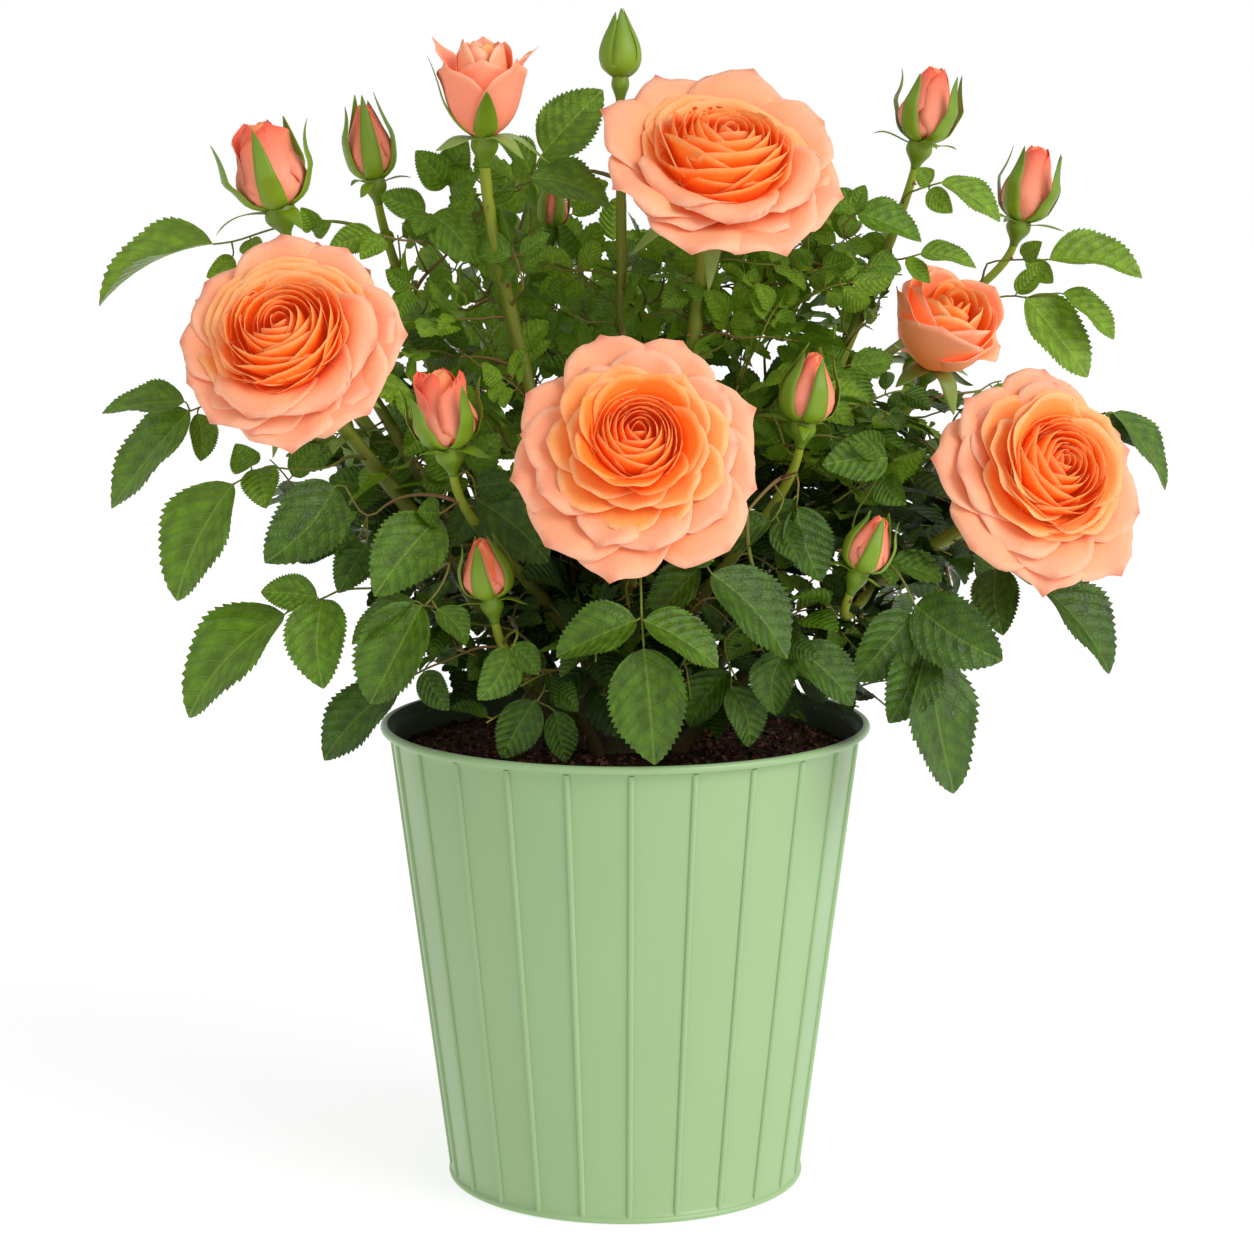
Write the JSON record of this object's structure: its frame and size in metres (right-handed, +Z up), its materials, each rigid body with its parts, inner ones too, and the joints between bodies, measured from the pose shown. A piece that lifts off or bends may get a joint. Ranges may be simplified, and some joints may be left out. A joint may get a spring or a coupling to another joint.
{
  "type": "potted rose bush",
  "caption": "Peach patio rose bush with open blooms and buds, growing in a round sage green metal bucket.",
  "frame": {"origin": "centre of the bucket's flat underside", "axes": "+Z up along the bucket's axis, -Y towards the front of the bush, +X to the right of someone who faces its front"},
  "size_m": [0.4351, 0.3093, 0.475],
  "materials": {
    "bucket_paint": "satin sage green paint",
    "potting_soil": "crumbly dark potting soil",
    "old_bark": "rough brown bark",
    "green_cane": "smooth green bark, browner near the foot",
    "rose_petal": "soft peach petals, orange at the heart",
    "rose_bud": "coral petals in green sepals",
    "rose_leaf": "semi-gloss dark green leaflets"
  },
  "bodies": {
    "root": {"bloom_back": "rose_petal", "bloom_back_left": "rose_petal", "bloom_centre": "rose_petal", "bloom_left": "rose_petal", "bloom_right": "rose_petal", "bloom_top": "rose_petal", "bucket": "bucket_paint", "bud_back": "rose_bud", "bud_far_left": "rose_bud", "bud_far_right": "rose_bud", "bud_front_left": "rose_bud", "bud_front_right": "rose_bud", "bud_left": "rose_bud", "bud_low_left": "rose_bud", "bud_low_right": "rose_bud", "bud_right": "rose_bud", "bud_top": "rose_bud", "cane_bloom_back": "green_cane", "cane_bloom_back_left": "green_cane", "cane_bloom_centre": "green_cane", "cane_bloom_left": "green_cane", "cane_bloom_right": "green_cane", "cane_bloom_top": "green_cane", "cane_bud_back": "green_cane", "cane_bud_far_left": "green_cane", "cane_bud_far_right": "green_cane", "cane_bud_front_left": "green_cane", "cane_bud_front_right": "green_cane", "cane_bud_left": "green_cane", "cane_bud_low_left": "green_cane", "cane_bud_low_right": "green_cane", "cane_bud_right": "green_cane", "cane_bud_top": "green_cane", "cane_half_open_back": "green_cane", "cane_half_open_left": "green_cane", "cane_half_open_right": "green_cane", "half_open_back": "rose_petal", "half_open_left": "rose_petal", "half_open_right": "rose_petal", "leaves_back_high": "rose_leaf", "leaves_back_left": "rose_leaf", "leaves_back_low": "rose_leaf", "leaves_back_right": "rose_leaf", "leaves_front": "rose_leaf", "leaves_inner": "rose_leaf", "leaves_left_front": "rose_leaf", "leaves_left_high": "rose_leaf", "leaves_left_inner": "rose_leaf", "leaves_left_low": "rose_leaf", "leaves_left_mid": "rose_leaf", "leaves_right_front": "rose_leaf", "leaves_right_high": "rose_leaf", "leaves_right_low": "rose_leaf", "leaves_right_mid": "rose_leaf", "leaves_upper": "rose_leaf", "leaves_upper_left": "rose_leaf", "soil": "potting_soil", "stock": "old_bark"}
  },
  "joints": []
}
